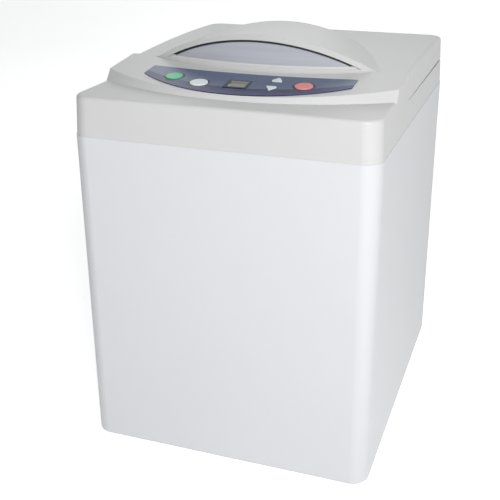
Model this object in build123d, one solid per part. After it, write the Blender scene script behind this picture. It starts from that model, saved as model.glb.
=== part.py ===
from build123d import *
from math import asin, atan, cos, degrees, pi, radians, sin, tan
import os

# Dental impression mixer: a bench-top planetary mixer for alginate. Millimetres.
# Origin: centre of the footprint on the bench, +Z up, the control panel faces -Y.

# ---- driving dimensions: casing -------------------------------------------------
FOOT_H = 3.0                        # rubber feet showing below the casing
CASE_H = 316.5                      # lower casing, bottom edge to parting line
BASE_W, BASE_D = 287.6, 346.0       # outline at the bottom edge
SEAM_W, SEAM_D = 280.0, 340.8       # outline at the parting line
CORNER_R = 16.6                     # plan radius of the four corners
WALL = 3.0                          # moulded wall
STEP = 0.4                          # the lower casing stands this much proud of the upper
TONGUE_INSET = 3.1                  # locating tongue of the upper casing, inside the lower
LEAN_X, LEAN_Y = 0.05, 0.0625       # the upper casing leans in, per millimetre of height
SEAM_Z = FOOT_H + CASE_H
LEDGE_Z = FOOT_H + 352.0            # flat front ledge below the dashboard
RIM_Z = FOOT_H + 340.5              # deck and rim that the lid closes on

# ---- driving dimensions: dashboard ----------------------------------------------
DASH_SLOPE = 0.11                   # the dashboard falls towards the front
DASH_Y, DASH_Z = -95.0, FOOT_H + 361.0
DASH_ANGLE = degrees(atan(DASH_SLOPE))
DASH = Plane(origin=(0, DASH_Y, DASH_Z), x_dir=(1, 0, 0),
             z_dir=(0, -sin(radians(DASH_ANGLE)), cos(radians(DASH_ANGLE))))
RISER_R, RISER_FRONT_Y = 252.0, -141.5  # foot of the curved riser, in plan
RISER_TAPER = 35.0                  # lean of the riser from upright
PANEL_R, PANEL_CY = 145.6, 6.6      # lower edge of the crescent overlay
PANEL_TOP_R, PANEL_TOP_Y = 790.0, -84.0
PANEL_HALF_W = 98.0
PANEL_T = 0.8
KEY_R = 8.2
KEY_GAP = 0.4                       # round each key, in its hole
KEY_PROUD = 1.7
KEY_TRAVEL = 1.0
START_XY, MODE_XY, STOP_XY = (-66.0, -104.5), (-37.0, -116.0), (57.0, -106.0)
UP_XY, DOWN_XY = (30.0, -96.0), (30.0, -116.0)
ARROW_R = 6.4                       # centre to corner of the arrow keys
DISPLAY_XY, DISPLAY_W, DISPLAY_H = (-1.5, -113.0), 22.0, 20.0
BOARD_DEPTH = 13.0                  # board's upper face below the dashboard
BOARD_T = 1.6

# ---- driving dimensions: lid ----------------------------------------------------
LIP_R, LIP_FRONT_Y = 273.0, -73.0   # curved front edge of the lid, in plan
LIP_CY = LIP_FRONT_Y + LIP_R
LID_SIDE_Y = -44.0                  # the lid's front edge at the two sides
LID_GAP = 1.0
LID_CROWN_R, LID_CROWN_Y, LID_CROWN_Z = 2112.0, 70.0, FOOT_H + 367.5
LID_EDGE_R = 4.0
SKIRT_FRONT_Z, SKIRT_REAR_Z = FOOT_H + 341.4, FOOT_H + 343.5
PIVOT_Y, PIVOT_Z = 167.0, 348.0     # lid hinge axis
HINGE_X = 85.0
HINGE_PIN_R = 2.0
KNUCKLE_R = 4.0
# The hood: distance from the front, half width at its foot, height, share of foot curve.
HOOD = ((-78.0, 118.0, 31.0, 0.10), (-30.0, 115.0, 32.5, 0.16), (15.0, 106.0, 31.0, 0.24),
        (60.0, 90.0, 22.0, 0.30), (100.0, 68.0, 11.0, 0.34), (132.0, 46.0, 3.6, 0.36),
        (150.0, 30.0, 0.8, 0.36))
HOOD_BASE_Z = FOOT_H + 364.6
HOOD_SET_BACK = 1.5
HOOD_FRONT_WALL = 6.0
WINDOW_TOP_Z, WINDOW_LOW_Z, WINDOW_R = FOOT_H + 391.0, FOOT_H + 367.5, 205.0
WINDOW_T = 2.5
SEAL_W = 2.0
LINER_Z = 351.0                     # underside of the lid's inner plate
LOCK_X, LOCK_Z, LOCK_PIN_R = 104.0, 347.2, 2.0
LOCK_NOTCH = 4.0                    # half width of the lid's notch for the pin
LOCK_SLOT = 2.5                     # half height of the striker's slot
STRIKER_Y, STRIKER_HALF_W = -46.0, 5.0
PIN_TIP_Y = -55.2                   # lock pin drawn back
SENSOR_X, SENSOR_Y, MAGNET_Y = -120.0, -42.0, -36.0

# ---- driving dimensions: drive and chamber ---------------------------------------
YC = 36.0                           # drive axis, behind the middle of the casing
CHAMBER_R = 124.0
MOUTH_R = 98.0
TUB_WALL = 2.0
CHAMBER_FLOOR_Z = 199.0
SHAFT_R = 8.5
RUN_FIT = 0.05                      # radial clearance of a bearing on its shaft
SUN_TEETH, PLANET_TEETH = 48, 24
CUP_TILT = 45.0
APEX_Z = 325.0                      # where the cup's axis meets the drive axis
GEAR_NEAR, GEAR_FAR = 123.0, 133.0  # planet gear's faces, from the apex along the cup axis
ADDENDUM, DEDENDUM = 2.3, 2.9
FLANK = 22.0                        # slope of a tooth's side
TOOTH_FILL = 0.90                   # tooth thickness over half the pitch
HOLDER_BASE_S, HOLDER_RIM_S = 94.0, 50.0
HOLDER_R = 42.0
CUP_FLOOR_S, CUP_MOUTH_S = 89.8, 20.0
CUP_FLOOR_R, CUP_MOUTH_R, CUP_WALL = 36.0, 38.5, 2.0
ARM_NEAR_S, ARM_FAR_S = 96.0, 120.0
ARM_TOP, ARM_UNDER = 98.7, 107.2    # arm's faces below the apex
ARM_HALF_W = 16.0
BOSS_R = 20.0
HOLDER_SHAFT_R = 6.0
BEARING_R = 13.0
MOTOR_R = 60.0

# ---- driving dimensions: base and rear --------------------------------------------
BASE_PLATE_Z = 6.0
FOOT_X, FOOT_Y, FOOT_R = 116.0, 145.0, 11.0
BOSS_X, BOSS_Y = 132.5, 161.5       # corner bosses and their screws
REAR_PLATE_Y = 167.9
POWER_X, POWER_Z = 62.0, 52.0
INLET_X, SWITCH_X = 46.0, 86.0

PITCH_SUN = degrees(atan(sin(radians(CUP_TILT))
                         / (PLANET_TEETH / SUN_TEETH + cos(radians(CUP_TILT)))))
PITCH_PLANET = CUP_TILT - PITCH_SUN
CONE_NEAR = GEAR_NEAR / cos(radians(PITCH_PLANET))
CONE_FAR = GEAR_FAR / cos(radians(PITCH_PLANET))
TILT_SIN = sin(radians(CUP_TILT))
TILT_COS = cos(radians(CUP_TILT))
# Cup frame: origin at the apex, +Z down the cup's axis to the gear, +X to the sun gear.
CUP = Plane(origin=(0, YC, APEX_Z), x_dir=(-TILT_COS, 0, -TILT_SIN),
            z_dir=(TILT_SIN, 0, -TILT_COS))
DRIVE = Plane(origin=(0, YC, 0), x_dir=(1, 0, 0), z_dir=(0, 0, 1))


# ---- shared forms -----------------------------------------------------------------
def lower_block(low, high, inset=0.0):
    """Tapered casing form between two heights, moved in by inset."""
    sections = []
    for z in (low, high):
        rise = (z - FOOT_H) / CASE_H
        width = BASE_W + (SEAM_W - BASE_W) * rise - 2 * inset
        depth = BASE_D + (SEAM_D - BASE_D) * rise - 2 * inset
        sections.append(Pos(0, 0, z) * RectangleRounded(width, depth, CORNER_R - inset))
    return loft(sections, ruled=True)


def upper_block(low, high, inset=0.0):
    """Inward-leaning form of the upper casing and lid between two heights."""
    sections = []
    for z in (low, high):
        width = SEAM_W - 2 * (STEP + LEAN_X * (z - SEAM_Z) + inset)
        depth = SEAM_D - 2 * (STEP + LEAN_Y * (z - SEAM_Z) + inset)
        sections.append(Pos(0, 0, z) * RectangleRounded(width, depth, CORNER_R - inset))
    return loft(sections, ruled=True)


def lid_plan(shift):
    """Plan of everything behind the lid's front edge, that edge moved forward by shift."""
    reach = 300.0
    front = LID_SIDE_Y - shift
    return (Pos(0, LIP_CY) * Circle(LIP_R + shift)
            + Pos(0, (front + reach) / 2) * Rectangle(2 * reach, reach - front))


def column(sketch, low, high):
    """Straight prism of a plan sketch between two heights."""
    return Pos(0, 0, low) * extrude(sketch, high - low)


def ring(outer, inner, low, high):
    """Flat ring about the local Z axis."""
    body = Pos(0, 0, low) * Cylinder(outer, high - low, align=(Align.CENTER, Align.CENTER, Align.MIN))
    bore = Pos(0, 0, low - 1) * Cylinder(inner, high - low + 2,
                                         align=(Align.CENTER, Align.CENTER, Align.MIN))
    return body - bore


def disc(radius, low, high):
    """Solid cylinder about the local Z axis."""
    return Pos(0, 0, low) * Cylinder(radius, high - low,
                                     align=(Align.CENTER, Align.CENTER, Align.MIN))


def turned(points):
    """Solid of revolution about local Z from (radius, height) corners."""
    profile = make_face(Polyline([(r, 0, z) for r, z in points], close=True))
    return revolve(profile, Axis.Z)


def brick(low, high):
    """Box between two corners."""
    size = [b - a for a, b in zip(low, high)]
    return Pos(*low) * Box(*size, align=(Align.MIN, Align.MIN, Align.MIN))


def dash_xy(point):
    """Plan position given on the dashboard's own plane."""
    return point[0], (point[1] - DASH_Y) / cos(radians(DASH_ANGLE))


# ---- casing -------------------------------------------------------------------------
def lower_casing():
    """Tall tapered tub: open top and bottom, corner bosses, rear vents and power window."""
    form = lower_block(FOOT_H, SEAM_Z)
    form = fillet(form.edges().group_by(Axis.Z)[0], 2.5)
    bosses = Part() + [Pos(x, y, BASE_PLATE_Z + 2) * Cylinder(
        8, 34, align=(Align.CENTER, Align.CENTER, Align.MIN))
        for x in (-BOSS_X, BOSS_X) for y in (-BOSS_Y, BOSS_Y)]
    shell = form - lower_block(FOOT_H, SEAM_Z, WALL)
    shell += bosses & lower_block(FOOT_H, SEAM_Z, WALL / 2)
    rear = BASE_D / 2
    vents = [Pos(x, rear, 150 + 7.0 * row) * Box(54, 20, 3)
             for x in (-70, 0, 70) for row in range(12)]
    shell -= vents
    shell -= Pos(POWER_X, rear, POWER_Z) * Box(98, 20, 46)
    return shell


def dash_form(inset):
    """Raised dashboard with its curved leaning riser, cut to the sloping top plane."""
    reach = 60.0
    sunk = 8.0
    foot_r = RISER_R - inset + sunk * tan(radians(RISER_TAPER))
    foot = Pos(0, RISER_FRONT_Y + RISER_R, LEDGE_Z - inset - sunk) * Circle(foot_r)
    raised = extrude(foot, 32, taper=RISER_TAPER)
    above = DASH.offset(-inset).location * Pos(0, 0, reach) * Box(700, 700, 2 * reach)
    return raised - above


def upper_form(inset):
    """Outer form of the upper casing, shrunk by inset for its inside."""
    low = SEAM_Z - (1.0 if inset else 0.0)
    ledge = upper_block(low, LEDGE_Z - inset, inset)
    dash = upper_block(LEDGE_Z - 15, LEDGE_Z + 20, inset) & dash_form(inset)
    if not inset:
        ledge = fillet(ledge.edges().group_by(Axis.Z)[-1], 3.5)
    form = ledge + dash
    pocket = column(lid_plan(LID_GAP + inset), RIM_Z - inset, LEDGE_Z + 40)
    return form - pocket


def upper_casing():
    """Front ledge, riser, dashboard and the deck that the lid closes on."""
    shell = upper_form(0.0) - upper_form(WALL)
    tongue = (lower_block(SEAM_Z - 5, SEAM_Z + 1, TONGUE_INSET)
              - lower_block(SEAM_Z - 6, SEAM_Z + 2, TONGUE_INSET + 2))
    shell += tongue
    shell -= Pos(0, YC, 0) * disc(MOUTH_R, RIM_Z - 10, RIM_Z + 10)
    holes = [Pos(*dash_xy(p)) * Circle(KEY_R + KEY_GAP) for p in (START_XY, MODE_XY, STOP_XY)]
    holes += [Pos(*dash_xy(p)) * arrow(a, KEY_GAP) for p, a in ((UP_XY, 90), (DOWN_XY, -90))]
    holes += [Pos(*dash_xy(DISPLAY_XY)) * Rectangle(DISPLAY_W, DISPLAY_H)]
    shell -= DASH.location * Pos(0, 0, -10) * extrude(Sketch() + holes, 20)
    posts = [Pos(x, dash_xy((0, y))[1], -BOARD_DEPTH) * Cylinder(
        3, BOARD_DEPTH - 1, align=(Align.CENTER, Align.CENTER, Align.MIN))
        for x in (-78, 78) for y in (-112, -88)]
    shell += DASH.location * (Part() + posts)
    notches = [brick((x - 13, PIVOT_Y - 5, RIM_Z - WALL + 1), (x + 13, BASE_D / 2, RIM_Z + 1))
               for x in (-HINGE_X, HINGE_X)]
    shell -= notches
    shell -= Pos(LOCK_X, 0, LOCK_Z) * Rot(90, 0, 0) * Pos(0, 0, 40) * disc(LOCK_PIN_R + 0.4, 0, 25)
    return shell


def base_plate():
    """Pressed steel floor with cooling slots."""
    plate = lower_block(BASE_PLATE_Z, BASE_PLATE_Z + 2, WALL + 0.2)
    slots = [Pos(x, YC, BASE_PLATE_Z) * Box(3, 90, 10) for x in range(-36, 37, 9)]
    return plate - slots


def rubber_feet():
    """Four turned rubber feet under the base plate."""
    foot = turned([(0, 0), (FOOT_R - 1, 0), (FOOT_R, 1), (FOOT_R, 4), (9, BASE_PLATE_Z),
                   (0, BASE_PLATE_Z)])
    return [Pos(x, y, 0) * foot for x in (-FOOT_X, FOOT_X) for y in (-FOOT_Y, FOOT_Y)]


def casing_screws():
    """Pan-head screws through the base plate into the corner bosses."""
    head = disc(4, BASE_PLATE_Z - 2.5, BASE_PLATE_Z)
    return [Pos(x, y, 0) * head for x in (-BOSS_X, BOSS_X) for y in (-BOSS_Y, BOSS_Y)]


# ---- control panel --------------------------------------------------------------------
def arrow(angle, grow=0.0):
    """Rounded triangle that points along angle."""
    return Rot(0, 0, angle) * fillet(RegularPolygon(ARROW_R + 2 * grow, 3).vertices(), 1.2)


def panel_outline(inset=0.0):
    """Crescent of the overlay: bowed top edge, round lower edge, clipped ends."""
    lower = Pos(*dash_xy((0, PANEL_CY))) * Circle(PANEL_R - inset)
    top_y = dash_xy((0, PANEL_TOP_Y))[1]
    upper = Pos(0, top_y + PANEL_TOP_R - inset) * Circle(PANEL_TOP_R)
    ends = Rectangle(2 * (PANEL_HALF_W - inset), 400)
    return (lower & ends) - upper


def panel_overlay():
    """Printed overlay on the dashboard, cut for the keys and the display."""
    holes = [Pos(*dash_xy(p)) * Circle(KEY_R + KEY_GAP) for p in (START_XY, MODE_XY, STOP_XY)]
    holes += [Pos(*dash_xy(p)) * arrow(a, KEY_GAP) for p, a in ((UP_XY, 90), (DOWN_XY, -90))]
    holes += [Pos(*dash_xy(DISPLAY_XY)) * Rectangle(DISPLAY_W, DISPLAY_H)]
    return DASH.location * extrude(panel_outline() - holes, PANEL_T)


def round_key(place):
    """Round key cap with its retaining flange and stem."""
    cap = disc(KEY_R, -4.4, KEY_PROUD)
    cap = fillet(cap.edges().group_by(Axis.Z)[-1], 0.6)
    cap += disc(KEY_R + 1.2, -5.2, -WALL - 0.4)
    cap += disc(2, -8, -5.2)
    return DASH.location * Pos(*dash_xy(place), 0) * cap


def arrow_key(place, angle):
    """Triangular key cap with its retaining flange and stem."""
    cap = extrude(Pos(0, 0, -4.4) * arrow(angle), 4.4 + KEY_PROUD)
    cap += extrude(Pos(0, 0, -5.2) * arrow(angle, 1.0), 5.2 - WALL - 0.4)
    cap += disc(2, -8, -5.2)
    return DASH.location * Pos(*dash_xy(place), 0) * cap


def control_board():
    """Circuit board hung under the dashboard on moulded posts."""
    low, high = dash_xy((0, -129))[1], dash_xy((0, -81))[1]
    return DASH.location * brick((-84, low, -BOARD_DEPTH - BOARD_T), (84, high, -BOARD_DEPTH))


def key_switches():
    """Small push switches on the board, one under each key."""
    button_top = -8 - KEY_TRAVEL - 0.1
    body = (Pos(0, 0, -BOARD_DEPTH) * Box(6, 6, 3.3, align=(Align.CENTER, Align.CENTER, Align.MIN))
            + disc(1.7, -BOARD_DEPTH, button_top))
    places = (START_XY, MODE_XY, UP_XY, DOWN_XY, STOP_XY)
    return [DASH.location * Pos(*dash_xy(p), 0) * body for p in places]


def led_display():
    """Two-digit display module on the board."""
    x, y = dash_xy(DISPLAY_XY)
    return DASH.location * brick((x - 9.5, y - 8.5, -BOARD_DEPTH), (x + 9.5, y + 8.5, -2))


def display_window():
    """Tinted window of the display, with a raised frame."""
    x, y = dash_xy(DISPLAY_XY)
    plate = Pos(x, y, -1.5) * Box(DISPLAY_W - 0.2, DISPLAY_H - 0.2, PANEL_T + 1.9,
                                  align=(Align.CENTER, Align.CENTER, Align.MIN))
    sunk = Pos(x, y, PANEL_T) * Box(DISPLAY_W - 5, DISPLAY_H - 6, 2)
    return DASH.location * (plate - sunk)


# ---- lid --------------------------------------------------------------------------------
def hood_section(y, half, height, foot_share, inset=0.0):
    """Cross-section of the hood: a wide arch that runs out into concave feet."""
    half, height = half - inset, height - inset
    total = (half ** 2 + height ** 2) / (2 * height)
    foot_r = foot_share * total
    arch_r = total - foot_r
    lean = asin(half / total)
    foot_x, foot_z = half - foot_r * sin(lean), foot_r * (1 - cos(lean))
    mid_x, mid_z = half - foot_r * sin(lean / 2), foot_r * (1 - cos(lean / 2))
    base = HOOD_BASE_Z
    sunk = base - 5.0
    left = ThreePointArc((-half, y, base), (-mid_x, y, base + mid_z), (-foot_x, y, base + foot_z))
    arch = ThreePointArc((-foot_x, y, base + foot_z), (0, y, base + height), (foot_x, y, base + foot_z))
    right = ThreePointArc((foot_x, y, base + foot_z), (mid_x, y, base + mid_z), (half, y, base))
    floor = Polyline((half, y, base), (half, y, sunk), (-half, y, sunk), (-half, y, base))
    return make_face([left, arch, right] + list(floor.edges()))


def hood_form(inset, front_shift):
    """Lofted hood, its front cut to the lid's curved edge moved back by front_shift."""
    sections = [hood_section(y, w, h, k, inset) for y, w, h, k in HOOD if h > inset]
    body = loft(sections)
    front = column(Pos(0, LIP_CY) * Circle(LIP_R - front_shift), HOOD_BASE_Z - 10, HOOD_BASE_Z + 60)
    return body & front


def lid_slab(inset):
    """Crowned slab of the lid without its hood."""
    slab = upper_block(SKIRT_FRONT_Z - 4, LID_CROWN_Z + 8, inset)
    slab &= column(lid_plan(-inset), SKIRT_FRONT_Z - 6, LID_CROWN_Z + 10)
    crown = (Pos(0, LID_CROWN_Y, LID_CROWN_Z - LID_CROWN_R) * Rot(0, 90, 0)
             * Cylinder(LID_CROWN_R - inset, 400))
    slab &= crown
    if not inset:
        slab = fillet(slab.faces().sort_by(Axis.Z)[-1].edges(), LID_EDGE_R)
    return slab


def crescent(inset):
    """Front view of the sight window: an arch cut off level near its foot."""
    arch = Pos(0, WINDOW_TOP_Z - WINDOW_R) * Circle(WINDOW_R - inset)
    above = Pos(0, WINDOW_LOW_Z + inset + 50) * Rectangle(400, 100)
    return arch & above


def crescent_prism(inset):
    """The window's front view carried through the hood's front wall."""
    return extrude(Plane.XZ.offset(30) * crescent(inset), 60)


def front_band(near, far):
    """Curved wall layer parallel to the hood's front, between two depths."""
    low, high = WINDOW_LOW_Z - 5, WINDOW_TOP_Z + 5
    outer = column(Pos(0, LIP_CY) * Circle(LIP_R - near), low, high)
    return outer - column(Pos(0, LIP_CY) * Circle(LIP_R - far), low - 1, high + 1)


def lid_shell():
    """Lid with its lofted hood, hollow underneath, cut for the crescent window."""
    outer = lid_slab(0.0) + hood_form(0.0, HOOD_SET_BACK)
    inner = lid_slab(WALL) + hood_form(WALL, HOOD_SET_BACK + HOOD_FRONT_WALL)
    shell = outer - inner
    shell -= crescent_prism(0.0)
    shell += front_lip() - crescent_prism(0.0)
    skirt_cut = make_face(Plane.YZ * Polyline(
        (-90, SKIRT_FRONT_Z - 12), (190, SKIRT_FRONT_Z - 12), (190, SKIRT_REAR_Z),
        (-90, SKIRT_FRONT_Z - 0.6), close=True))
    shell -= extrude(skirt_cut, 200, both=True)
    shell -= [brick((x - 13, PIVOT_Y - 6, SKIRT_FRONT_Z - 6), (x + 13, BASE_D / 2, PIVOT_Z + 6))
              for x in (-HINGE_X, HINGE_X)]
    shell -= brick((LOCK_X - LOCK_NOTCH, LID_SIDE_Y - 14, SKIRT_FRONT_Z - 6),
                   (LOCK_X + LOCK_NOTCH, LID_SIDE_Y, LOCK_Z + LOCK_NOTCH - 0.6))
    return shell


def front_lip():
    """Wall left below the window, standing on the lid behind its curved edge."""
    band = front_band(HOOD_SET_BACK, HOOD_SET_BACK + HOOD_FRONT_WALL)
    return band & hood_form(0.0, HOOD_SET_BACK)


def sight_window():
    """Crescent pane held in the hood's front."""
    return crescent_prism(SEAL_W) & front_band(HOOD_SET_BACK + 2.5, HOOD_SET_BACK + 2.5 + WINDOW_T)


def window_seal():
    """Black rubber seal round the pane."""
    rim = crescent_prism(0.0) - crescent_prism(SEAL_W)
    return rim & front_band(HOOD_SET_BACK + 1.6, HOOD_SET_BACK + 5.6)


def lid_liner():
    """Flat inner plate of the lid, open over the chamber."""
    plate = upper_block(LINER_Z, LINER_Z + 2, WALL + 0.2)
    plate &= column(lid_plan(-WALL - 0.2), LINER_Z - 5, LINER_Z + 5)
    plate -= Pos(0, YC, 0) * disc(MOUTH_R, LINER_Z - 5, LINER_Z + 5)
    plate -= [brick((x - 13, PIVOT_Y - 6, LINER_Z - 1), (x + 13, BASE_D / 2, LINER_Z + 3))
              for x in (-HINGE_X, HINGE_X)]
    return plate


def lid_gasket():
    """Soft ring under the liner that closes on the deck round the chamber's mouth."""
    return DRIVE.location * ring(MOUTH_R + 7, MOUTH_R + 1, RIM_Z + 0.5, LINER_Z)


def striker():
    """Steel hook under the liner: the lock pin slides in above its toe."""
    left, right = LOCK_X - STRIKER_HALF_W, LOCK_X + STRIKER_HALF_W
    low = RIM_Z + 0.1
    leg = brick((left, STRIKER_Y, low), (LOCK_X - LOCK_SLOT, STRIKER_Y + 3, LINER_Z))
    toe = brick((left, STRIKER_Y, low), (right, STRIKER_Y + 3, LOCK_Z - LOCK_SLOT))
    foot = brick((left, STRIKER_Y, LINER_Z - 1.1), (right, STRIKER_Y + 14, LINER_Z))
    return leg + toe + foot


def lid_magnet():
    """Magnet in the lid that the sensor under the deck feels."""
    return Pos(SENSOR_X, MAGNET_Y, 0) * disc(4, LINER_Z - 4, LINER_Z)


# ---- hinge and lock -----------------------------------------------------------------------


def hinge_brackets():
    """Two clevises on the deck that hold the hinge pins."""
    brackets = []
    for x in (-HINGE_X, HINGE_X):
        foot = brick((x - 11, 146, RIM_Z), (x + 11, PIVOT_Y - KNUCKLE_R - 2, RIM_Z + 2))
        ears = Part()
        for side in (-1, 1):
            ear = Pos(x + side * 7.5, PIVOT_Y, PIVOT_Z) * Rot(0, 90, 0) * Cylinder(KNUCKLE_R, 6)
            arm = brick((x + side * 7.5 - 3, 155, RIM_Z), (x + side * 7.5 + 3, PIVOT_Y, PIVOT_Z))
            ears += ear + arm
        bore = Pos(x, PIVOT_Y, PIVOT_Z) * Rot(0, 90, 0) * Cylinder(HINGE_PIN_R, 40)
        brackets.append(foot + ears - bore)
    return brackets


def hinge_pins():
    """Steel pins across the two clevises."""
    return [Pos(x, PIVOT_Y, PIVOT_Z) * Rot(0, 90, 0) * Cylinder(HINGE_PIN_R, 21)
            for x in (-HINGE_X, HINGE_X)]


def hinge_arms():
    """Lid halves of the two hinges, fixed to the liner."""
    arms = []
    for x in (-HINGE_X, HINGE_X):
        knuckle = Pos(x, PIVOT_Y, PIVOT_Z) * Rot(0, 90, 0) * Cylinder(KNUCKLE_R, 8.4)
        web = brick((x - 4.2, 150, PIVOT_Z), (x + 4.2, PIVOT_Y, LINER_Z))
        foot = brick((x - 11, 140, LINER_Z - 2), (x + 11, 152, LINER_Z))
        bore = Pos(x, PIVOT_Y, PIVOT_Z) * Rot(0, 90, 0) * Cylinder(HINGE_PIN_R + RUN_FIT, 20)
        arms.append(knuckle + web + foot - bore)
    return arms


def lock_solenoid():
    """Solenoid under the dashboard that drives the lid lock."""
    body = brick((LOCK_X - 6.5, -88, LOCK_Z - 6.5), (LOCK_X + 6.5, -62, LOCK_Z + 6.5))
    bore = Pos(LOCK_X, 0, LOCK_Z) * Rot(90, 0, 0) * disc(LOCK_PIN_R + RUN_FIT, 50, 92)
    return body - bore


def lock_pin():
    """Sliding pin of the lid lock."""
    pin = Pos(LOCK_X, PIN_TIP_Y, LOCK_Z) * Rot(90, 0, 0) * disc(LOCK_PIN_R, 0, 28)
    return chamfer(pin.edges().sort_by(Axis.Y)[-1], 0.5)


def lid_sensor():
    """Reed sensor under the deck."""
    top = RIM_Z - WALL
    return brick((SENSOR_X - 4, SENSOR_Y - 8, top - 5), (SENSOR_X + 4, SENSOR_Y + 8, top))


# ---- chamber --------------------------------------------------------------------------------
def chamber_tub():
    """Spun steel bowl below the deck, open in the middle for the drive."""
    top = RIM_Z - WALL
    outer = CHAMBER_R + TUB_WALL
    low = CHAMBER_FLOOR_Z - TUB_WALL
    dish = 8.0
    profile = [(54, low), (outer - dish, low), (outer, low + dish), (outer, top - 2),
               (outer + 3, top - 2), (outer + 3, top), (CHAMBER_R, top),
               (CHAMBER_R, low + dish + 1), (CHAMBER_R - dish + 1, CHAMBER_FLOOR_Z),
               (54, CHAMBER_FLOOR_Z)]
    return DRIVE.location * turned(profile)


def floor_seal():
    """Rubber ring between the bowl and the motor's boss."""
    return DRIVE.location * ring(54, 52, CHAMBER_FLOOR_Z - 3, CHAMBER_FLOOR_Z)


def bevel_teeth(count, pitch_angle, phase):
    """Straight bevel teeth about local Z, all faces running to the apex at the origin."""
    cone = radians(pitch_angle)
    tip = cone + atan(ADDENDUM / CONE_FAR)
    root = cone - atan(DEDENDUM * 1.25 / CONE_FAR)
    depth = CONE_FAR * cos(cone)
    half_pitch = pi / count / 2 * TOOTH_FILL

    def corner(angle, side):
        radius = depth * tan(angle)
        rise = CONE_FAR * (angle - cone)
        half = half_pitch * depth * tan(cone) - rise * tan(radians(FLANK))
        return radius, side * half

    points = [corner(root, -1), corner(tip, -1), corner(tip, 1), corner(root, 1)]
    teeth = []
    near = CONE_NEAR / CONE_FAR
    for i in range(count):
        turn = Rot(0, 0, (i + phase) * 360.0 / count)
        large = make_face(Polyline([(x, y, depth) for x, y in points], close=True))
        small = make_face(Polyline([(x * near, y * near, depth * near) for x, y in points],
                                   close=True))
        teeth.append(turn * loft([small, large], ruled=True))
    return teeth


def bevel_body(pitch_angle, bore):
    """Cone that carries bevel teeth, bored through."""
    root = radians(pitch_angle) - atan(DEDENDUM / CONE_FAR)
    near = CONE_NEAR * cos(radians(pitch_angle))
    far = CONE_FAR * cos(radians(pitch_angle))
    return turned([(bore, near), (near * tan(root), near), (far * tan(root), far), (bore, far)])


def sun_gear():
    """Fixed bevel ring that the planet gear rolls round."""
    bore, flange_r = 46.0, 51.5
    depth_far = CONE_FAR * cos(radians(PITCH_SUN))
    cone = bevel_body(PITCH_SUN, bore)
    base = ring(flange_r, bore, depth_far, APEX_Z - CHAMBER_FLOOR_Z)
    gear = cone + base + bevel_teeth(SUN_TEETH, PITCH_SUN, 0.5)
    upside = Plane(origin=(0, YC, APEX_Z), x_dir=(1, 0, 0), z_dir=(0, 0, -1))
    return upside.location * gear


def planet_gear():
    """Small bevel gear on the cup holder's shaft."""
    gear = bevel_body(PITCH_PLANET, HOLDER_SHAFT_R) + bevel_teeth(PLANET_TEETH, PITCH_PLANET, 0)
    return CUP.location * gear


# ---- motor -------------------------------------------------------------------------------------
MOUNT_Z = 42.0
HOUSING_LOW, HOUSING_HIGH = 58.0, 184.0


def isolators():
    """Rubber columns that carry the motor on the base plate."""
    column_profile = [(0, BASE_PLATE_Z + 2), (12, BASE_PLATE_Z + 2), (9, 17), (9, 33),
                      (12, MOUNT_Z), (0, MOUNT_Z)]
    return [Pos(x, YC + y, 0) * turned(column_profile) for x in (-78, 78) for y in (-60, 60)]


def motor_mount():
    """Steel plate under the motor."""
    plate = Pos(0, YC, MOUNT_Z) * extrude(RectangleRounded(186, 150, 12), 4)
    return plate - Pos(0, YC, 0) * disc(46, MOUNT_Z - 5, MOUNT_Z + 10)


def motor_housing():
    """Finned aluminium barrel."""
    barrel = ring(MOTOR_R, 56, HOUSING_LOW, HOUSING_HIGH)
    fins = [Rot(0, 0, i * 15) * brick((MOTOR_R - 1, -1, HOUSING_LOW + 8),
                                      (MOTOR_R + 5, 1, HOUSING_HIGH - 8)) for i in range(24)]
    return DRIVE.location * (barrel + fins)


def lower_shield():
    """Motor's lower end shield with its bearing seat."""
    return DRIVE.location * turned([(20, 46), (60, 46), (60, HOUSING_LOW), (24, HOUSING_LOW),
                                    (24, HOUSING_LOW + 2), (20, HOUSING_LOW + 2)])


def upper_shield():
    """Motor's upper end shield: bearing seat below, boss for the sun gear above."""
    return DRIVE.location * turned([
        (20, 176), (25, 176), (25, HOUSING_HIGH), (62, HOUSING_HIGH), (62, 196), (52, 196),
        (52, CHAMBER_FLOOR_Z), (16, CHAMBER_FLOOR_Z), (16, 190), (20, 190)])


def motor_bearings():
    """Deep-groove bearings of the main shaft."""
    return [DRIVE.location * ring(20, SHAFT_R + RUN_FIT, low, low + 12) for low in (47, 178)]


def shaft_seal():
    """Lip seal that keeps powder out of the upper bearing."""
    return DRIVE.location * ring(16, SHAFT_R + 0.4, 191, CHAMBER_FLOOR_Z)


def stator():
    """Laminated core with its end windings."""
    return DRIVE.location * turned([
        (30.5, 82), (34, 82), (36, 72), (50, 72), (53, 82), (56, 82), (56, 160), (53, 160),
        (50, 171), (36, 171), (34, 160), (30.5, 160)])


def armature():
    """Motor's rotor pressed on the main shaft."""
    return DRIVE.location * ring(30, SHAFT_R, 82, 160)


def main_shaft():
    """Vertical shaft through the motor up to the arm."""
    shaft = disc(SHAFT_R, 22, 238)
    return DRIVE.location * chamfer(shaft.edges().group_by(Axis.Z)[-1], 1.0)


def cooling_fan():
    """Radial fan on the shaft's lower end."""
    fan = disc(42, 37, 39) + disc(13, 24, 38)
    fan += [Rot(0, 0, i * 45) * brick((12, -1, 26), (41, 1, 38)) for i in range(8)]
    return DRIVE.location * (fan - disc(SHAFT_R, 20, 45))


# ---- rotor arm and cup ---------------------------------------------------------------------------
def arm_point(s, t):
    """Point in the arm's side view, s along the cup axis and t across it."""
    return (s - t) * TILT_SIN, -(s + t) * TILT_COS


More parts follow.
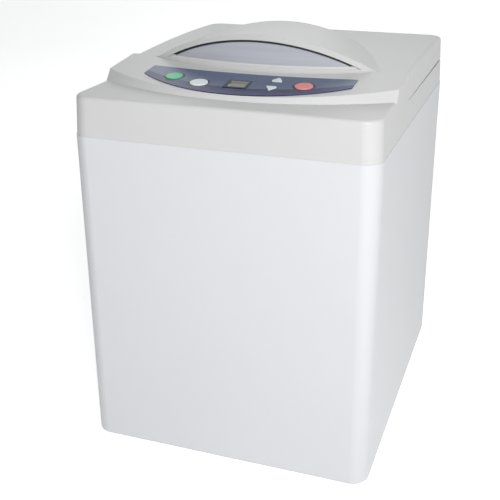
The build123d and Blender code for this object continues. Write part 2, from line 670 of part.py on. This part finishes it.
def rotor_arm():
    """Cast arm: hub on the main shaft, tilted boss for the cup holder, tail for the weight."""
    near_t = ARM_TOP / TILT_COS - ARM_NEAR_S
    far_t = ARM_UNDER / TILT_COS - ARM_FAR_S
    side = [(-94, -ARM_TOP), arm_point(ARM_NEAR_S, near_t), arm_point(ARM_NEAR_S, -BOSS_R / 2),
            arm_point(ARM_FAR_S, -BOSS_R / 2), arm_point(ARM_FAR_S, far_t), (-94, -ARM_UNDER)]
    face = make_face(Polyline([(x, 0, z) for x, z in side], close=True))
    web = Pos(0, YC, APEX_Z) * extrude(face, ARM_HALF_W, both=True)
    hub = Pos(0, YC, 0) * disc(20, CHAMBER_FLOOR_Z + 3, APEX_Z - ARM_TOP)
    boss = CUP.location * disc(BOSS_R, ARM_NEAR_S, ARM_FAR_S)
    pad = Pos(-72, YC, 0) * disc(24, APEX_Z - ARM_UNDER, APEX_Z - ARM_TOP)
    arm = web + hub + boss + pad
    arm -= CUP.location * disc(BEARING_R, ARM_NEAR_S - 5, ARM_FAR_S + 5)
    arm -= Pos(0, YC, 0) * disc(SHAFT_R, 150, 260)
    return arm


def holder_bearings():
    """Two bearings in the arm's boss."""
    return [CUP.location * ring(BEARING_R, HOLDER_SHAFT_R + RUN_FIT, low, low + 8)
            for low in (ARM_NEAR_S + 1, ARM_FAR_S - 9)]


def counterweight():
    """Steel weight that balances the cup."""
    weight = disc(21, APEX_Z - ARM_TOP, APEX_Z - 60)
    return Pos(-72, YC, 0) * chamfer(weight.edges().group_by(Axis.Z)[-1], 2.0)


def rotor_nut():
    """Hexagon nut on the main shaft."""
    nut = extrude(RegularPolygon(13, 6), 9) - disc(SHAFT_R, -1, 10)
    return Pos(0, YC, APEX_Z - ARM_TOP) * nut


def cup_radius(s):
    """Outer radius of the mixing cup at a distance s from the apex."""
    return CUP_FLOOR_R + (CUP_MOUTH_R - CUP_FLOOR_R) * (CUP_FLOOR_S - s) / (CUP_FLOOR_S - CUP_MOUTH_S)


def cup_holder():
    """Aluminium basket that spins with the mixing cup."""
    gap = 0.4
    floor = HOLDER_BASE_S - 4
    profile = [(0, HOLDER_BASE_S), (HOLDER_R - 3, HOLDER_BASE_S), (HOLDER_R, HOLDER_BASE_S - 3),
               (HOLDER_R, HOLDER_RIM_S + 1), (HOLDER_R - 1, HOLDER_RIM_S),
               (cup_radius(HOLDER_RIM_S) + gap, HOLDER_RIM_S), (cup_radius(floor) + gap, floor),
               (0, floor)]
    basket = turned(profile)
    windows = [Rot(0, 0, 60 + i * 120) * brick((20, -11, 60), (60, 11, 80)) for i in range(3)]
    return CUP.location * (basket - windows)


def holder_shaft():
    """Short shaft under the basket, carried by the arm's bearings."""
    return CUP.location * (disc(HOLDER_SHAFT_R, HOLDER_BASE_S, GEAR_FAR + 6)
                           + disc(9, HOLDER_BASE_S, HOLDER_BASE_S + 1.5))


def holder_nut():
    """Nut that holds the planet gear on its shaft."""
    nut = extrude(RegularPolygon(9.5, 6), 5) - disc(HOLDER_SHAFT_R, -1, 6)
    return CUP.location * Pos(0, 0, GEAR_FAR) * nut


def mixing_cup():
    """Tapered plastic cup with a rolled rim."""
    s0, s1 = CUP_MOUTH_S, CUP_FLOOR_S
    profile = [(0, s1), (CUP_FLOOR_R - 2, s1), (CUP_FLOOR_R, s1 - 2),
               (cup_radius(s0 + 4), s0 + 4), (CUP_MOUTH_R + 1.6, s0 + 4), (CUP_MOUTH_R + 1.6, s0),
               (CUP_MOUTH_R - CUP_WALL, s0), (CUP_FLOOR_R - CUP_WALL, s1 - 5),
               (CUP_FLOOR_R - CUP_WALL - 3, s1 - 2), (0, s1 - 2)]
    return CUP.location * turned(profile)


def cup_cap():
    """Push-on lid of the mixing cup."""
    s0 = CUP_MOUTH_S
    profile = [(0, s0 - 3), (HOLDER_R - 2, s0 - 3), (HOLDER_R - 0.3, s0 - 1.3),
               (HOLDER_R - 0.3, s0 + 6), (CUP_MOUTH_R + 1.7, s0 + 6), (CUP_MOUTH_R + 1.7, s0),
               (CUP_MOUTH_R - CUP_WALL - 0.3, s0), (CUP_MOUTH_R - CUP_WALL - 0.9, s0 + 3),
               (CUP_MOUTH_R - CUP_WALL - 2.9, s0 + 3), (CUP_MOUTH_R - CUP_WALL - 2.9, s0), (0, s0)]
    return CUP.location * turned(profile)


# ---- electrics at the rear -----------------------------------------------------------------------
def rear_plate():
    """Steel plate behind the power window, cut for the inlet and the switch."""
    plate = brick((POWER_X - 54, REAR_PLATE_Y - 1.5, POWER_Z - 28),
                  (POWER_X + 54, REAR_PLATE_Y, POWER_Z + 28))
    cuts = [Pos(INLET_X, REAR_PLATE_Y, POWER_Z + 4) * Box(27.6, 10, 20.4),
            Pos(SWITCH_X, REAR_PLATE_Y, POWER_Z) * Box(19.6, 10, 28.6)]
    return plate - cuts


def power_inlet():
    """Three-blade appliance inlet in its flanged body."""
    face = REAR_PLATE_Y + 2.2
    z = POWER_Z + 4
    flange = brick((INLET_X - 16, REAR_PLATE_Y, z - 21), (INLET_X + 16, face, z + 12.5))
    body = brick((INLET_X - 13.6, REAR_PLATE_Y - 18, z - 10), (INLET_X + 13.6, face, z + 10))
    cavity = brick((INLET_X - 12, REAR_PLATE_Y - 14, z - 8.2), (INLET_X + 12, face + 1, z + 8.2))
    cavity = chamfer(cavity.edges().filter_by(Axis.Y).group_by(Axis.Z)[-1], 4.0)
    drawer_hole = brick((INLET_X - 12.5, REAR_PLATE_Y + 0.6, z - 19.2),
                        (INLET_X + 12.5, face + 1, z - 11.4))
    return flange + body - cavity - drawer_hole


def inlet_blades():
    """Three contact blades."""
    z = POWER_Z + 4
    blades = []
    for x, dz in ((-7, -2), (7, -2), (0, 3)):
        blades.append(brick((INLET_X + x - 1, REAR_PLATE_Y - 14, z + dz - 2),
                            (INLET_X + x + 1, REAR_PLATE_Y - 1, z + dz + 2)))
    return blades


def fuse_drawer():
    """Small drawer for two fuses below the inlet."""
    z = POWER_Z + 4
    return brick((INLET_X - 12.2, REAR_PLATE_Y + 0.7, z - 18.9),
                 (INLET_X + 12.2, REAR_PLATE_Y + 2.6, z - 11.7))


def switch_bezel():
    """Frame of the power switch."""
    outer = brick((SWITCH_X - 12, REAR_PLATE_Y, POWER_Z - 16.5),
                  (SWITCH_X + 12, REAR_PLATE_Y + 2.2, POWER_Z + 16.5))
    body = brick((SWITCH_X - 9.7, REAR_PLATE_Y - 16, POWER_Z - 14.2),
                 (SWITCH_X + 9.7, REAR_PLATE_Y + 2.2, POWER_Z + 14.2))
    well = brick((SWITCH_X - 7.6, REAR_PLATE_Y - 9, POWER_Z - 12.6),
                 (SWITCH_X + 7.6, REAR_PLATE_Y + 3, POWER_Z + 12.6))
    return outer + body - well


def power_rocker():
    """Rocker of the power switch, lying off, its lower half standing out."""
    y = REAR_PLATE_Y
    z = POWER_Z
    side = make_face(Plane.YZ * Polyline(
        (y - 2.6, z + 11), (y + 1.0, z), (y + 1.0, z - 11), (y - 1.5, z - 11),
        (y - 6.0, z - 3), (y - 6.0, z + 3), (y - 4.6, z + 10.4), close=True))
    return Pos(SWITCH_X, 0, 0) * extrude(side, 7.1, both=True)


def run_capacitor():
    """Motor's run capacitor lying on the base plate."""
    can = Pos(-88, -92, BASE_PLATE_Z + 2 + 18) * Rot(0, 90, 90) * Cylinder(18, 76)
    return fillet(can.edges(), 2.0)


def driver_board():
    """Power and speed control board on the base plate, with its heat sink."""
    z = BASE_PLATE_Z + 2
    board = brick((-30, -140, z + 6), (100, -60, z + 7.6))
    posts = Part() + [Pos(x, y, 0) * disc(3, z, z + 7) for x in (-25, 95) for y in (-135, -65)]
    sink = brick((50, -120, z + 7.6), (90, -80, z + 11))
    sink += [brick((50 + 6 * i, -120, z + 10), (52 + 6 * i, -80, z + 32)) for i in range(7)]
    return board + posts + sink


NODES = {
    "lower_casing": lower_casing, "upper_casing": upper_casing, "base_plate": base_plate,
    "rubber_feet": rubber_feet, "casing_screws": casing_screws,
    "panel_overlay": panel_overlay, "control_board": control_board,
    "key_switches": key_switches, "led_display": led_display,
    "display_window": display_window,
    "start_key": lambda: round_key(START_XY), "mode_key": lambda: round_key(MODE_XY),
    "stop_key": lambda: round_key(STOP_XY), "up_key": lambda: arrow_key(UP_XY, 90),
    "down_key": lambda: arrow_key(DOWN_XY, -90),
    "lid_shell": lid_shell, "sight_window": sight_window, "window_seal": window_seal,
    "lid_liner": lid_liner, "lid_gasket": lid_gasket, "striker": striker,
    "lid_magnet": lid_magnet, "hinge_arms": hinge_arms,
    "hinge_brackets": hinge_brackets, "hinge_pins": hinge_pins,
    "lock_solenoid": lock_solenoid, "lock_pin": lock_pin, "lid_sensor": lid_sensor,
    "chamber_tub": chamber_tub, "floor_seal": floor_seal, "sun_gear": sun_gear,
    "isolators": isolators, "motor_mount": motor_mount, "motor_housing": motor_housing,
    "lower_shield": lower_shield, "upper_shield": upper_shield,
    "motor_bearings": motor_bearings, "shaft_seal": shaft_seal, "stator": stator,
    "armature": armature, "main_shaft": main_shaft, "cooling_fan": cooling_fan,
    "rotor_arm": rotor_arm, "holder_bearings": holder_bearings,
    "counterweight": counterweight, "rotor_nut": rotor_nut,
    "cup_holder": cup_holder, "holder_shaft": holder_shaft, "planet_gear": planet_gear,
    "holder_nut": holder_nut, "mixing_cup": mixing_cup, "cup_cap": cup_cap,
    "rear_plate": rear_plate, "power_inlet": power_inlet, "inlet_blades": inlet_blades,
    "fuse_drawer": fuse_drawer, "switch_bezel": switch_bezel, "power_rocker": power_rocker,
    "run_capacitor": run_capacitor, "driver_board": driver_board,
}

os.makedirs("parts", exist_ok=True)
for name, make in NODES.items():
    shape = make()
    solids = shape if isinstance(shape, list) else shape.solids()
    solids = [s for piece in solids for s in piece.solids()]
    whole = solids[0] if len(solids) == 1 else Compound(children=solids)
    export_step(whole, f"parts/{name}.step")
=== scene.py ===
"""Dental impression mixer: the looks of a bench-top planetary mixer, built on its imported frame."""
import math

import bmesh
import bpy
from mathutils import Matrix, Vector


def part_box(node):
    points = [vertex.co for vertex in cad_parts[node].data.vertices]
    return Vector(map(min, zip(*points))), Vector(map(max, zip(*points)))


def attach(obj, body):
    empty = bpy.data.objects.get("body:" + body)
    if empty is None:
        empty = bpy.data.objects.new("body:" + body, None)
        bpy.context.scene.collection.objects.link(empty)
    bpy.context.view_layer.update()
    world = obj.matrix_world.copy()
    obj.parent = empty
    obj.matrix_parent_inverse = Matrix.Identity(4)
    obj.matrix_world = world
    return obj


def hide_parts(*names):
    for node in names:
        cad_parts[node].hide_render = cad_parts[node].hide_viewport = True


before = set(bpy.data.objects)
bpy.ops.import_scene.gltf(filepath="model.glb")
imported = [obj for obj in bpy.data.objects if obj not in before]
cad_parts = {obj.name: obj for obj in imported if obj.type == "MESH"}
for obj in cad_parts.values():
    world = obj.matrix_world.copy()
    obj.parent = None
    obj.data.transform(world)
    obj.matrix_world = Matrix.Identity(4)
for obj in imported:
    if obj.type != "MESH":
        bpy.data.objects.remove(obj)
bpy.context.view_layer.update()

# ---- Camera ----------------------------------------------------------------------------
# A normal lens, a little above the lid and to the right of the control panel.
# The small shift keeps the photograph's framing.
CAMERA_AT = Vector((0.25906, -0.79657, 0.52689))
CAMERA_TURN, CAMERA_DIP = math.radians(18.697), math.radians(25.202)
back = Vector((math.sin(CAMERA_TURN) * math.cos(CAMERA_DIP),
               -math.cos(CAMERA_TURN) * math.cos(CAMERA_DIP), math.sin(CAMERA_DIP)))
camera_data = bpy.data.cameras.new("camera")
camera_data.lens = 60.07
camera_data.sensor_width = 36.0
camera_data.shift_x, camera_data.shift_y = -0.0384, 0.0403
camera = bpy.data.objects.new("camera", camera_data)
camera.location = CAMERA_AT
camera.rotation_euler = back.to_track_quat("Z", "Y").to_euler()
bpy.context.scene.collection.objects.link(camera)
bpy.context.scene.camera = camera
bpy.context.scene.view_settings.view_transform = "Standard"

# ---- Floor, backdrop and lights ----------------------------------------------------------
# A white sweep: flat floor, a quarter-round cove and an upright back. For camera, glossy and
# transmission rays a faint glow lifts it to white, and it keeps the object's soft shadow.
world = bpy.data.worlds.new("studio")
bpy.context.scene.world = world
world.use_nodes = True
world.node_tree.nodes["Background"].inputs["Color"].default_value = (0.95, 0.97, 1.0, 1.0)
world.node_tree.nodes["Background"].inputs["Strength"].default_value = 0.27


class Socket:
    """A shader socket whose maths is written as Python expressions."""

    def __init__(self, tree, output):
        self.tree, self.output = tree, output

    def _maths(self, kind, *values):
        return node(self.tree, "ShaderNodeMath", {"operation": kind}, *values)[0]

    def __add__(self, other):
        return self._maths("ADD", self, other)

    def __sub__(self, other):
        return self._maths("SUBTRACT", self, other)

    def __rsub__(self, other):
        return self._maths("SUBTRACT", other, self)

    def __mul__(self, other):
        return self._maths("MULTIPLY", self, other)

    def __pow__(self, other):
        return self._maths("POWER", self, other)

    def clamp(self, low, high):
        """This value between two stops, eased at both ends, as 0 to 1."""
        return node(self.tree, "ShaderNodeMapRange", {"interpolation_type": "SMOOTHSTEP"},
                    self, low, high, 0.0, 1.0)[0]

    __radd__ = __add__
    __rmul__ = __mul__


def node(tree, kind, settings, *values, **named):
    """A shader node: its settings first, then its sockets in order or by name."""
    made = tree.nodes.new(kind)
    for name, value in settings.items():
        setattr(made, name, value)
    pairs = [(made.inputs[i], v) for i, v in enumerate(values) if v is not None]
    pairs += [(made.inputs[k.replace("_", " ")], v) for k, v in named.items()]
    for target, value in pairs:
        if isinstance(value, Socket):
            tree.links.new(value.output, target)
        else:
            target.default_value = value
    return [Socket(tree, out) for out in made.outputs]


def material(name):
    """A new node material: its tree, its Principled shader and its object coordinates."""
    made = bpy.data.materials.new(name)
    made.use_nodes = True
    tree = made.node_tree
    shader = tree.nodes["Principled BSDF"]
    place = node(tree, "ShaderNodeTexCoord", {})[3]
    return made, tree, shader, place


def feed(tree, shader, **values):
    """Links or sets sockets of a shader by name."""
    for name, value in values.items():
        target = shader.inputs[name.replace("_", " ")]
        if isinstance(value, Socket):
            tree.links.new(value.output, target)
        else:
            target.default_value = value


floor_mesh = bpy.data.meshes.new("floor")
sweep = bmesh.new()
COVE_START, COVE_R, COVE_STEPS = 1.6, 0.9, 12
SWEEP_HALF = 4.0
WHITE_GLOW = 0.60
edge = [sweep.verts.new((-SWEEP_HALF, -SWEEP_HALF, 0)),
        sweep.verts.new((-SWEEP_HALF, COVE_START, 0))]
for i in range(1, COVE_STEPS + 1):
    angle = math.pi / 2 * i / COVE_STEPS
    edge.append(sweep.verts.new((-SWEEP_HALF, COVE_START + COVE_R * math.sin(angle),
                                 COVE_R * (1 - math.cos(angle)))))
edge.append(sweep.verts.new((-SWEEP_HALF, COVE_START + COVE_R, SWEEP_HALF)))
spine = [sweep.edges.new(pair) for pair in zip(edge, edge[1:])]
grown = bmesh.ops.extrude_edge_only(sweep, edges=spine)
bmesh.ops.translate(sweep, vec=(2 * SWEEP_HALF, 0, 0),
                    verts=[v for v in grown["geom"] if isinstance(v, bmesh.types.BMVert)])
bmesh.ops.recalc_face_normals(sweep, faces=sweep.faces)
sweep.to_mesh(floor_mesh)
floor = bpy.data.objects.new("floor", floor_mesh)
bpy.context.scene.collection.objects.link(floor)
for polygon in floor_mesh.polygons:
    polygon.use_smooth = True
paper, tree, shader, place = material("white_sweep")
rays = node(tree, "ShaderNodeLightPath", {})
camera_ray, glossy_ray, transmission_ray = rays[0], rays[3], rays[6]
seen = node(tree, "ShaderNodeMath", {"operation": "MAXIMUM"}, camera_ray,
            glossy_ray + transmission_ray)[0]
glow = node(tree, "ShaderNodeMix", {"data_type": "RGBA"}, seen, None, None, None, None, None,
            (0, 0, 0, 1), (WHITE_GLOW, WHITE_GLOW, WHITE_GLOW, 1))[2]
feed(tree, shader, Base_Color=(0.88, 0.88, 0.88, 1), Roughness=0.9, Specular_IOR_Level=0.1,
     Emission_Color=glow, Emission_Strength=1.0)
floor_mesh.materials.append(paper)


def lamp(name, place, aim, size, power, colour=(1, 1, 1)):
    """A square soft box at place that faces aim."""
    data = bpy.data.lights.new(name, "AREA")
    data.shape, data.size, data.energy, data.color = "SQUARE", size, power, colour
    made = bpy.data.objects.new(name, data)
    made.location = place
    made.rotation_euler = (Vector(place) - Vector(aim)).to_track_quat("Z", "Y").to_euler()
    bpy.context.scene.collection.objects.link(made)


CENTRE = (0.0, 0.0, 0.22)
lamp("key_light", (0.72, -1.30, 1.06), CENTRE, 0.5, 24.0)
lamp("side_light", (1.9, 0.2, 0.4), CENTRE, 1.2, 3.0)
lamp("back_light", (-0.6, 1.8, 1.3), CENTRE, 1.2, 4.0)

# ---- Lower casing --------------------------------------------------------------------------
# One tall injection-moulded shell in cool white, with the fine spark-eroded grain of a
# moulding tool and a satin finish. It stands slightly proud of the upper casing.
JOIN_WITHIN = 2e-6                  # corners of the CAD facets this close are one corner
COOL_WHITE = (0.630, 0.637, 0.655)


def dressed(name, cad_node, body, finish, sharp=32.0):
    """A CAD node's own surface with its corners joined for smooth shading."""
    mesh = bpy.data.meshes.new(name)
    shape = bmesh.new()
    shape.from_mesh(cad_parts[cad_node].data)
    bmesh.ops.remove_doubles(shape, verts=shape.verts, dist=JOIN_WITHIN)
    bmesh.ops.dissolve_degenerate(shape, edges=shape.edges, dist=JOIN_WITHIN / 2)
    for e in shape.edges:
        e.smooth = len(e.link_faces) == 2 and e.calc_face_angle(0) < math.radians(sharp)
    for f in shape.faces:
        f.smooth = True
    shape.to_mesh(mesh)
    shape.free()
    mesh.materials.append(finish)
    piece = bpy.data.objects.new(name, mesh)
    bpy.context.scene.collection.objects.link(piece)
    piece.modifiers.new("even_shading", "WEIGHTED_NORMAL").keep_sharp = True
    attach(piece, body)
    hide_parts(cad_node)
    return piece


def grained_plastic(name, colour, grain=0.35, roughness=0.42):
    """Moulded plastic with a fine grain and faint differences in tone."""
    made, tree, shader, place = material(name)
    cloud = node(tree, "ShaderNodeTexNoise", {}, place, Scale=9.0, Detail=3.0)[0]
    fine = node(tree, "ShaderNodeTexNoise", {}, place, Scale=1500.0, Detail=2.0)[0]
    dark = [c * 0.975 for c in colour]
    tone = node(tree, "ShaderNodeMix", {"data_type": "RGBA"}, cloud, None, None, None, None, None,
                (*dark, 1), (*colour, 1))[2]
    bump = node(tree, "ShaderNodeBump", {}, Strength=grain, Distance=0.00012, Height=fine)[0]
    feed(tree, shader, Base_Color=tone, Roughness=fine * 0.12 + (roughness - 0.06), Normal=bump,
         IOR=1.49)
    return made


casing_plastic = grained_plastic("cool_white_plastic", COOL_WHITE)
dressed("lower_casing_shell", "lower_casing", "chassis", casing_plastic)

# ---- Upper casing ----------------------------------------------------------------------------
# The second moulding: a flat front ledge, a curved riser and the sloping dashboard, with the
# deck that the lid closes on. Its white is painted shade: a slightly warmer, greyer copy of the
# lower casing's white.
# Painted shade: the lower casing's white made warmer and greyer, for the darker look of the upper
# parts.
SHADED_WARM_WHITE = (0.570, 0.573, 0.563)
shaded_upper_plastic = grained_plastic("shaded_warm_white_plastic", SHADED_WARM_WHITE)
dressed("upper_casing_shell", "upper_casing", "chassis", shaded_upper_plastic)

# ---- Control overlay -------------------------------------------------------------------------
# Polyester film printed in two blues behind its matt face and glued to the dashboard.
# The navy band follows the lower edge. The dark ring round each round key is painted shade where the
# key meets the film.
ARC_Y, BAND_R = 0.0547, 0.1767      # middle and radius of the band's upper edge, in plan
PRINT_EDGE = 0.0002                 # half width over which one ink gives way to the next
KEY_HOLE_R, RIM_SHADE_W = 0.0088, 0.0013
ROUND_KEYS = {"start_key": (-0.066, -0.1045), "mode_key": (-0.037, -0.116),
              "stop_key": (0.057, -0.106)}
film, tree, shader, place = material("printed_film")
x, y, z = node(tree, "ShaderNodeSeparateXYZ", {}, place)


def radius_from(x, y, centre):
    """Distance in plan from a centre."""
    dx, dy = x - centre[0], y - centre[1]
    return (dx * dx + dy * dy) ** 0.5


def tint(tree, mask, first, second):
    """first where the mask is 0 and second where it is 1."""
    values = [v if isinstance(v, Socket) else (*v, 1) for v in (first, second)]
    return node(tree, "ShaderNodeMix", {"data_type": "RGBA"}, mask, None, None, None, None, None,
                *values)[2]


band = radius_from(x, y, (0.0, ARC_Y)).clamp(BAND_R - PRINT_EDGE, BAND_R + PRINT_EDGE)
# Painted shade: a dark ring just outside each round key's hole, where the key meets the film.
key_rim_shade = None
for centre in ROUND_KEYS.values():
    rim_shade_r = KEY_HOLE_R + RIM_SHADE_W
    inside = 1 - radius_from(x, y, centre).clamp(rim_shade_r - PRINT_EDGE, rim_shade_r + PRINT_EDGE)
    key_rim_shade = inside if key_rim_shade is None else key_rim_shade + inside
mottle = node(tree, "ShaderNodeTexNoise", {}, place, Scale=160.0, Detail=3.0)[0]
slate = tint(tree, mottle, (0.075, 0.105, 0.185), (0.095, 0.130, 0.215))
print_and_rim_shade = tint(tree, band, slate, (0.006, 0.012, 0.085))
# The painted-shade rings go over the print.
print_and_rim_shade = tint(tree, key_rim_shade.clamp(0.2, 0.8), print_and_rim_shade, (0.006, 0.010, 0.045))
film_grain = node(tree, "ShaderNodeTexNoise", {}, place, Scale=2600.0, Detail=1.0)[0]
feed(tree, shader, Base_Color=print_and_rim_shade, Roughness=0.38, IOR=1.5,
     Normal=node(tree, "ShaderNodeBump", {}, Strength=0.2, Distance=0.00005, Height=film_grain)[0])
dressed("printed_overlay", "panel_overlay", "chassis", film)

# ---- Keys ------------------------------------------------------------------------------------
# Satin moulded caps, green to start, white for the mode and the arrows, red to stop.


def satin_cap(name, colour):
    """Coloured key plastic with faint random differences in tone."""
    made, tree, shader, place = material(name)
    wear = node(tree, "ShaderNodeTexNoise", {}, place, Scale=420.0, Detail=4.0)[0]
    worn = tint(tree, wear, [c * 0.93 for c in colour], colour)
    feed(tree, shader, Base_Color=worn, Roughness=wear * 0.15 + 0.30, IOR=1.5)
    return made


green = satin_cap("green_key_plastic", (0.075, 0.475, 0.235))
white = satin_cap("white_key_plastic", (0.735, 0.790, 0.775))
red = satin_cap("red_key_plastic", (0.760, 0.265, 0.235))
for name, body, finish in (("start_key", "start_button", green), ("mode_key", "mode_button", white),
                           ("stop_key", "stop_button", red), ("up_key", "up_button", white),
                           ("down_key", "down_button", white)):
    dressed(name.replace("_key", "_cap"), name, body, finish, sharp=50.0)

# ---- Display ---------------------------------------------------------------------------------
# A two-digit display behind a tinted window with a raised black frame.
FRAME_X, FRAME_Y = 0.0083, 0.0068   # half size of the tinted field inside the frame
FRAME_EDGE = 0.0003
glass, tree, shader, place = material("tinted_display")
low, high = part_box("display_window")
x, y, z = node(tree, "ShaderNodeSeparateXYZ", {}, place)
mid_x, mid_y = (low.x + high.x) / 2, (low.y + high.y) / 2
across = node(tree, "ShaderNodeMath", {"operation": "ABSOLUTE"}, x - mid_x)[0]
along = node(tree, "ShaderNodeMath", {"operation": "ABSOLUTE"}, y - mid_y)[0]
frame_mask = node(tree, "ShaderNodeMath", {"operation": "MAXIMUM"},
                  across.clamp(FRAME_X, FRAME_X + FRAME_EDGE),
                  along.clamp(FRAME_Y, FRAME_Y + FRAME_EDGE))[0]
feed(tree, shader, Base_Color=tint(tree, frame_mask, (0.30, 0.285, 0.255), (0.008, 0.009, 0.014)),
     Roughness=0.22, IOR=1.5, Coat_Weight=0.4)
dressed("display_pane", "display_window", "chassis", glass)

# ---- Lid -------------------------------------------------------------------------------------
# Crowned lid moulding with its swelling hood, hinged at the rear; rounded front lip.
# The lid wears the upper casing's painted-shade white.
dressed("lid_moulding", "lid_shell", "lid", shaded_upper_plastic, sharp=40.0)

# ---- Sight window ----------------------------------------------------------------------------
# Crescent pane of smoked, slightly milky acrylic. Its seal's arch is black rubber and also
# painted shade for the shadow gap under the lid's lip; the seal's level foot on the lid's lip takes
# the lid's white. The other rubber parts are black too.
SEAL_FOOT, SEAL_EDGE = 0.0024, 0.0004
smoke, tree, shader, place = material("smoked_acrylic")
x, y, z = node(tree, "ShaderNodeSeparateXYZ", {}, place)
streak_place = node(tree, "ShaderNodeMapping", {}, place, Scale=(6.0, 6.0, 160.0))[0]
streak = node(tree, "ShaderNodeTexNoise", {}, streak_place, Scale=1.0, Detail=2.0)[0]
pane = tint(tree, streak, (0.35, 0.36, 0.405), (0.45, 0.46, 0.505))
feed(tree, shader, Base_Color=pane, Roughness=0.16, IOR=1.49, Coat_Weight=0.6)
dressed("crescent_pane", "sight_window", "lid", smoke)

rubber, tree, shader, place = material("black_rubber")
bloom = node(tree, "ShaderNodeTexNoise", {}, place, Scale=220.0, Detail=4.0)[0]
feed(tree, shader, Base_Color=tint(tree, bloom, (0.010, 0.010, 0.011), (0.026, 0.026, 0.028)),
     Roughness=bloom * 0.2 + 0.55)

seal_rubber_and_gap_shade, tree, shader, place = material("window_seal_rubber_and_gap_shade")
x, y, z = node(tree, "ShaderNodeSeparateXYZ", {}, place)
seal_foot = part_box("window_seal")[0].z
# The black arch is partly rubber and partly painted shadow of the gap under the lip.
arch = z.clamp(seal_foot + SEAL_FOOT, seal_foot + SEAL_FOOT + SEAL_EDGE)
feed(tree, shader, Base_Color=tint(tree, arch, SHADED_WARM_WHITE, (0.016, 0.016, 0.017)),
     Roughness=0.5)
dressed("window_rubber", "window_seal", "lid", seal_rubber_and_gap_shade)
for name, cad_node, body in (("foot_rubbers", "rubber_feet", "chassis"),
                             ("lid_rubber", "lid_gasket", "lid"),
                             ("bowl_rubber", "floor_seal", "chassis"),
                             ("lip_seal", "shaft_seal", "chassis"),
                             ("isolator_rubbers", "isolators", "chassis")):
    dressed(name, cad_node, body, rubber)
# The liner plate wears the same painted-shade white.
dressed("liner_plate", "lid_liner", "lid", shaded_upper_plastic)

# ---- Metal parts -----------------------------------------------------------------------------
# Spun and turned steel, cast aluminium, and the plated screws and pins.


def metal(name, colour, roughness, stretch, scatter):
    """Bare metal with fine tool marks along one direction."""
    made, tree, shader, place = material(name)
    lined = node(tree, "ShaderNodeMapping", {}, place, Scale=stretch)[0]
    marks = node(tree, "ShaderNodeTexNoise", {}, lined, Scale=1.0, Detail=4.0)[0]
    feed(tree, shader, Metallic=1.0, Roughness=marks * scatter + (roughness - scatter / 2),
         Base_Color=tint(tree, marks, [c * 0.9 for c in colour], colour),
         Normal=node(tree, "ShaderNodeBump", {}, Strength=0.15, Distance=0.00005, Height=marks)[0])
    return made


sheet_steel = metal("sheet_steel", (0.58, 0.59, 0.60), 0.32, (60, 60, 2600), 0.14)
turned_steel = metal("turned_steel", (0.66, 0.66, 0.67), 0.22, (900, 900, 900), 0.10)
cast_aluminium = metal("cast_aluminium", (0.62, 0.63, 0.64), 0.45, (420, 420, 420), 0.20)
brass = metal("plated_brass", (0.72, 0.56, 0.25), 0.25, (700, 700, 700), 0.10)
METALS = (
    (sheet_steel, "chassis", ("base_plate", "chamber_tub", "motor_mount", "rear_plate",
                              "hinge_brackets", "stator")),
    (sheet_steel, "lid", ("striker",)),
    (sheet_steel, "rotor", ("armature", "counterweight")),
    (turned_steel, "chassis", ("casing_screws", "hinge_pins", "motor_bearings", "sun_gear")),
    (turned_steel, "lid", ("lid_magnet",)),
    (turned_steel, "lock_bolt", ("lock_pin",)),
    (turned_steel, "rotor", ("main_shaft", "rotor_nut", "holder_bearings")),
    (turned_steel, "holder", ("holder_shaft", "holder_nut", "planet_gear")),
    (cast_aluminium, "chassis", ("motor_housing", "lower_shield", "upper_shield",
                                 "run_capacitor")),
    (cast_aluminium, "rotor", ("rotor_arm",)),
    (cast_aluminium, "holder", ("cup_holder",)),
    (cast_aluminium, "lid", ("hinge_arms",)),
    (brass, "chassis", ("inlet_blades",)),
)
for finish, body, names in METALS:
    for name in names:
        dressed(name + "_metal", name, body, finish)

# ---- Mixing cup ------------------------------------------------------------------------------
# Cup and push-on cap in translucent polypropylene.
cup_plastic = grained_plastic("milky_polypropylene", (0.62, 0.70, 0.76), 0.1, 0.35)
dressed("cup_body", "mixing_cup", "cup", cup_plastic)
dressed("cup_lid", "cup_cap", "cup", cup_plastic)

# ---- Electrics -------------------------------------------------------------------------------
# Black moulded inlet, fuse drawer, switch, solenoid and fan; green circuit boards.
black_plastic = grained_plastic("black_plastic", (0.018, 0.018, 0.020), 0.3, 0.45)
board_green = grained_plastic("solder_mask", (0.010, 0.095, 0.040), 0.1, 0.30)
for finish, body, names in (
        (black_plastic, "chassis", ("power_inlet", "fuse_drawer", "switch_bezel", "led_display",
                                    "key_switches", "lid_sensor", "lock_solenoid")),
        (black_plastic, "rocker", ("power_rocker",)),
        (black_plastic, "rotor", ("cooling_fan",)),
        (board_green, "chassis", ("control_board", "driver_board"))):
    for name in names:
        dressed(name + "_piece", name, body, finish)
